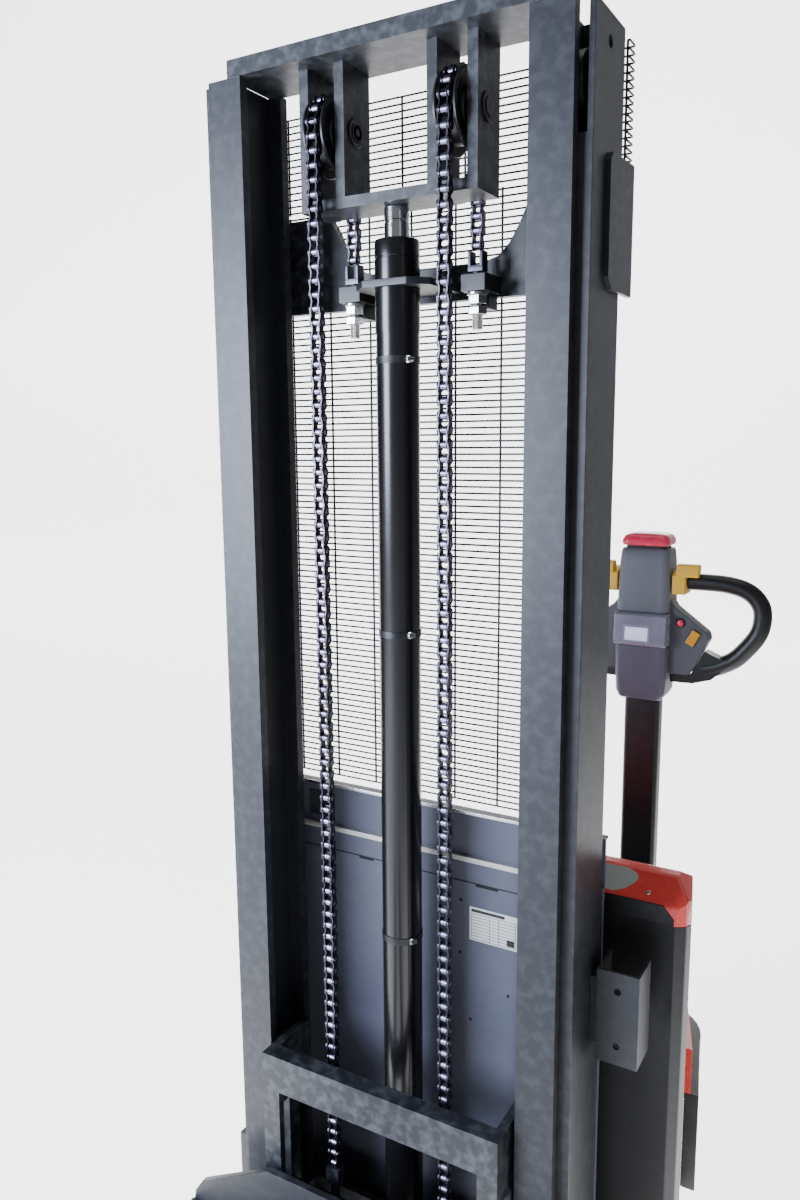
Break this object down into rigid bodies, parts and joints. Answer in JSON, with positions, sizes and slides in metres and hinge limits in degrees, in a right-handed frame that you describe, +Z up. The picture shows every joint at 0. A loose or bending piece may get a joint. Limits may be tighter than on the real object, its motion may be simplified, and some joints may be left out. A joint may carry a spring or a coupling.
{
  "type": "walkie stacker",
  "caption": "Pedestrian pallet stacker: two-stage chain mast with sheet-steel forks over support legs, battery body with red hood, and an offset upright steering tiller.",
  "frame": {"origin": "on the floor under the centre of the truck's box", "axes": "+Z up, +Y towards the operator and tiller, -Y along the forks, +X to the side the tiller is offset to"},
  "size_m": [0.8554, 1.974, 2.024],
  "materials": {
    "frame_paint": "satin charcoal powder coat",
    "black_paint": "satin black powder coat",
    "black_plastic": "fine moulded grain",
    "grey_plastic": "fine moulded grain",
    "battery_case": "moulded",
    "red_plastic": "glossy moulding",
    "red_cap": "glossy moulding",
    "yellow_plastic": "satin moulding",
    "chrome_rod": "hard chromed and polished",
    "chain_steel": "oiled dark steel",
    "roller_steel": "turned steel, lightly greased",
    "zinc_steel": "zinc plated",
    "polyurethane": "matt polyurethane tread"
  },
  "bodies": {
    "chassis": {"chassis_frame": "black_paint", "support_leg_right": "frame_paint", "support_leg_left": "frame_paint", "body_shell": "black_paint", "bulkhead_panel": "frame_paint", "instrument_panel": "black_plastic", "side_bracket": "frame_paint", "battery": "battery_case", "pump_unit": "black_paint", "drive_cover": "red_plastic", "outer_rail_right": "frame_paint", "outer_rail_left": "frame_paint", "upper_cross_member": "frame_paint", "mesh_guard": "black_paint", "lift_cylinder": "black_paint", "cylinder_clamp": "black_paint", "hydraulic_pipe": "black_paint", "chain_tail_right": "chain_steel", "chain_tail_left": "chain_steel", "chain_anchor_right": "black_paint", "chain_anchor_left": "black_paint"},
    "hood": {"hood": "red_plastic"},
    "emergency_stop": {"emergency_stop": "red_plastic"},
    "key_switch": {"key_switch": "zinc_steel"},
    "castor_fork": {"castor_fork": "zinc_steel"},
    "castor_wheel": {"castor_wheel": "polyurethane"},
    "steering": {"drive_unit": "black_paint", "tiller_yoke": "black_paint"},
    "drive_wheel": {"drive_wheel": "polyurethane"},
    "tiller": {"tiller_arm": "black_paint", "tiller_head": "grey_plastic", "loop_handle_right": "black_plastic", "loop_handle_left": "black_plastic"},
    "butterfly": {"butterfly": "yellow_plastic"},
    "belly_button": {"belly_button": "red_cap"},
    "horn_button": {"horn_button": "red_cap"},
    "lift_rocker": {"lift_rocker": "yellow_plastic"},
    "inner_mast": {"inner_rail_right": "frame_paint", "inner_rail_left": "frame_paint", "mast_head": "frame_paint", "inner_lower_tie": "frame_paint", "piston_rod": "chrome_rod", "lift_chain_right": "chain_steel", "lift_chain_left": "chain_steel"},
    "carriage": {"carriage_frame": "frame_paint", "fork_plate": "frame_paint", "fork_right": "frame_paint", "fork_left": "frame_paint"},
    "load_roller_right": {"load_roller_right": "polyurethane"},
    "mast_roller_upper_right": {"mast_roller_upper_right": "roller_steel"},
    "mast_roller_lower_right": {"mast_roller_lower_right": "roller_steel"},
    "sheave_right": {"sheave_right": "roller_steel"},
    "carriage_roller_lower_right": {"carriage_roller_lower_right": "roller_steel"},
    "carriage_roller_upper_right": {"carriage_roller_upper_right": "roller_steel"},
    "load_roller_left": {"load_roller_left": "polyurethane"},
    "mast_roller_upper_left": {"mast_roller_upper_left": "roller_steel"},
    "mast_roller_lower_left": {"mast_roller_lower_left": "roller_steel"},
    "sheave_left": {"sheave_left": "roller_steel"},
    "carriage_roller_lower_left": {"carriage_roller_lower_left": "roller_steel"},
    "carriage_roller_upper_left": {"carriage_roller_upper_left": "roller_steel"}
  },
  "joints": [
    {"name": "mast_lift", "type": "slide", "parent": "chassis", "child": "inner_mast", "axis": [0, 0, 1], "range_m": [0, 1.45], "deforming": ["chain_tail_right", "chain_tail_left"]},
    {"name": "carriage_lift", "type": "slide", "parent": "inner_mast", "child": "carriage", "axis": [0, 0, 1], "range_m": [0, 1.45], "deforming": ["lift_chain_right", "lift_chain_left"]},
    {"name": "sheave_spin_right", "type": "hinge", "parent": "inner_mast", "child": "sheave_right", "pos_m": [0.08528, 0.295, 1.914], "axis": [1, 0, 0], "continuous": true},
    {"name": "mast_roller_upper_spin_right", "type": "hinge", "parent": "chassis", "child": "mast_roller_upper_right", "pos_m": [0.25328, 0.2905, 1.916], "axis": [1, 0, 0], "continuous": true},
    {"name": "mast_roller_lower_spin_right", "type": "hinge", "parent": "inner_mast", "child": "mast_roller_lower_right", "pos_m": [0.25328, 0.3095, 0.127], "axis": [1, 0, 0], "continuous": true},
    {"name": "carriage_roller_lower_spin_right", "type": "hinge", "parent": "carriage", "child": "carriage_roller_lower_right", "pos_m": [0.21128, 0.2905, 0.15], "axis": [1, 0, 0], "continuous": true},
    {"name": "carriage_roller_upper_spin_right", "type": "hinge", "parent": "carriage", "child": "carriage_roller_upper_right", "pos_m": [0.21128, 0.2905, 0.44], "axis": [1, 0, 0], "continuous": true},
    {"name": "load_roller_spin_right", "type": "hinge", "parent": "chassis", "child": "load_roller_right", "pos_m": [0.23378, -0.85, 0.04], "axis": [1, 0, 0], "continuous": true},
    {"name": "sheave_spin_left", "type": "hinge", "parent": "inner_mast", "child": "sheave_left", "pos_m": [-0.11872, 0.295, 1.914], "axis": [1, 0, 0], "continuous": true},
    {"name": "mast_roller_upper_spin_left", "type": "hinge", "parent": "chassis", "child": "mast_roller_upper_left", "pos_m": [-0.28672, 0.2905, 1.916], "axis": [1, 0, 0], "continuous": true},
    {"name": "mast_roller_lower_spin_left", "type": "hinge", "parent": "inner_mast", "child": "mast_roller_lower_left", "pos_m": [-0.28672, 0.3095, 0.127], "axis": [1, 0, 0], "continuous": true},
    {"name": "carriage_roller_lower_spin_left", "type": "hinge", "parent": "carriage", "child": "carriage_roller_lower_left", "pos_m": [-0.24472, 0.2905, 0.15], "axis": [1, 0, 0], "continuous": true},
    {"name": "carriage_roller_upper_spin_left", "type": "hinge", "parent": "carriage", "child": "carriage_roller_upper_left", "pos_m": [-0.24472, 0.2905, 0.44], "axis": [1, 0, 0], "continuous": true},
    {"name": "load_roller_spin_left", "type": "hinge", "parent": "chassis", "child": "load_roller_left", "pos_m": [-0.26722, -0.85, 0.04], "axis": [1, 0, 0], "continuous": true},
    {"name": "steering", "type": "hinge", "parent": "chassis", "child": "steering", "pos_m": [0.20528, 0.835, 0.3], "axis": [0, 0, 1], "range_deg": [-75, 75]},
    {"name": "drive_wheel_spin", "type": "hinge", "parent": "steering", "child": "drive_wheel", "pos_m": [0.20528, 0.835, 0.105], "axis": [1, 0, 0], "continuous": true},
    {"name": "tiller_tilt", "type": "hinge", "parent": "steering", "child": "tiller", "pos_m": [0.20528, 0.835, 0.47], "axis": [-1, 0, 0], "range_deg": [0, 75], "stiffness_Nm_per_rad": 20, "springref_deg": -34.38},
    {"name": "butterfly_turn", "type": "hinge", "parent": "tiller", "child": "butterfly", "pos_m": [0.20528, 0.835, 1.232], "axis": [1, 0, 0], "range_deg": [-25, 25], "stiffness_Nm_per_rad": 0.6},
    {"name": "belly_button_press", "type": "slide", "parent": "tiller", "child": "belly_button", "axis": [0, 0, -1], "range_m": [0, 0.004], "stiffness_N_per_m": 900},
    {"name": "castor_swivel", "type": "hinge", "parent": "chassis", "child": "castor_fork", "pos_m": [-0.23872, 0.825, 0.2], "axis": [0, 0, 1], "continuous": true},
    {"name": "castor_wheel_spin", "type": "hinge", "parent": "castor_fork", "child": "castor_wheel", "pos_m": [-0.23872, 0.86, 0.065], "axis": [1, 0, 0], "continuous": true},
    {"name": "hood_hinge", "type": "hinge", "parent": "chassis", "child": "hood", "pos_m": [-0.01672, 0.635, 0.76], "axis": [-1, 0, 0], "range_deg": [0, 70]},
    {"name": "emergency_stop_press", "type": "slide", "parent": "chassis", "child": "emergency_stop", "axis": [0, -0.4148, -0.9099], "range_m": [0, 0.004]},
    {"name": "key_turn", "type": "hinge", "parent": "chassis", "child": "key_switch", "pos_m": [-0.08672, 0.669, 0.7415], "axis": [0, 0.4148, 0.9099], "range_deg": [-90, 0]},
    {"name": "horn_press", "type": "slide", "parent": "tiller", "child": "horn_button", "axis": [0, 1, 0], "range_m": [0, 0.002], "stiffness_N_per_m": 600},
    {"name": "lift_rocker_turn", "type": "hinge", "parent": "tiller", "child": "lift_rocker", "pos_m": [0.29628, 0.813, 1.132], "axis": [0.8776, 0, -0.4794], "range_deg": [-5, 5], "stiffness_Nm_per_rad": 0.2}
  ],
  "couplings": [
    {"joint": "carriage_lift", "follows": "mast_lift", "ratio": 1},
    {"joint": "sheave_spin_right", "follows": "mast_lift", "rad_per_m": -20},
    {"joint": "sheave_spin_left", "follows": "mast_lift", "rad_per_m": -20}
  ]
}
